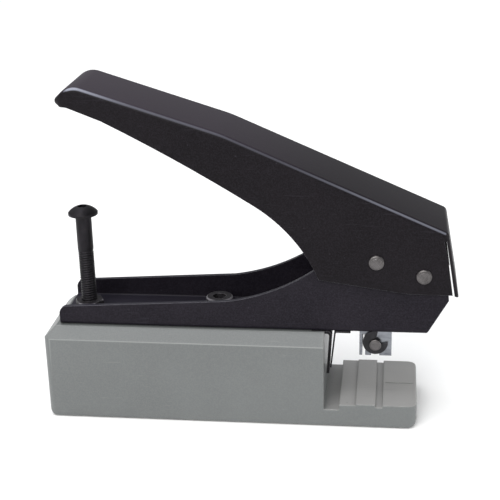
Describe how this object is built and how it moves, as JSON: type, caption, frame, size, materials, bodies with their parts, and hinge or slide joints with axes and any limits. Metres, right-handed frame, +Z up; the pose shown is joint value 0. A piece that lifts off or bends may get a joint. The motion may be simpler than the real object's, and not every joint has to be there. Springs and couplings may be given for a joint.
{
  "type": "bench slot punch",
  "caption": "Bench punch with a long black lever handle on a folded channel, a grey cast base with a stepped card platform, and an upright stop screw.",
  "frame": {"origin": "centre of the base's footprint, on the surface it stands on", "axes": "+X from the grip end towards the card throat, +Z up"},
  "size_m": [0.1284, 0.0318, 0.1067],
  "materials": {
    "base_paint": "semi-gloss light warm grey enamel",
    "handle_paint": "satin black with a faint violet cast",
    "channel_paint": "satin black with a faint violet cast",
    "strip_paint": "satin black",
    "black_steel": "black oxide",
    "spring_black": "blackened spring steel",
    "bright_steel": "turned bright steel",
    "zinc_plate": "bright zinc plate",
    "tool_steel": "ground tool steel",
    "spring_steel": "drawn spring wire",
    "cover_plastic": "fine grain black",
    "sole_rubber": "matte black"
  },
  "bodies": {
    "frame": {"base_body": "base_paint", "bottom_cover": "cover_plastic", "cover_screws": "black_steel", "rubber_sole": "sole_rubber", "frame_channel": "channel_paint", "pivot_sleeve": "bright_steel", "frame_screw": "black_steel", "frame_nut": "zinc_plate", "lock_nut": "black_steel", "back_stop": "strip_paint", "stop_leaf": "strip_paint", "leaf_rivet": "black_steel", "guide_bracket": "zinc_plate", "guide_rivets": "bright_steel"},
    "handle": {"handle_shell": "handle_paint", "pivot_pin": "bright_steel", "drive_pin": "bright_steel"},
    "ram": {"ram_block": "tool_steel", "punch_blade": "tool_steel", "cross_pin": "bright_steel", "pin_clips": "spring_black", "return_springs": "spring_steel"},
    "stop": {"stop_screw": "black_steel"}
  },
  "joints": [
    {"name": "handle_hinge", "type": "hinge", "parent": "frame", "child": "handle", "pos_m": [0.05955, 0, 0.0498], "axis": [0, -1, 0], "range_deg": [0, 20.8], "stiffness_Nm_per_rad": 0.65, "springref_deg": -15.47},
    {"name": "ram_slide", "type": "slide", "parent": "frame", "child": "ram", "axis": [0, 0, -1], "range_m": [0, 0.00533], "deforming": ["return_springs"]},
    {"name": "stop_screw_adjust", "type": "slide", "parent": "frame", "child": "stop", "axis": [0, 0, -1], "range_m": [0, 0.018]}
  ],
  "couplings": [
    {"joint": "ram_slide", "follows": "handle_hinge", "m_per_rad": 0.014644}
  ]
}
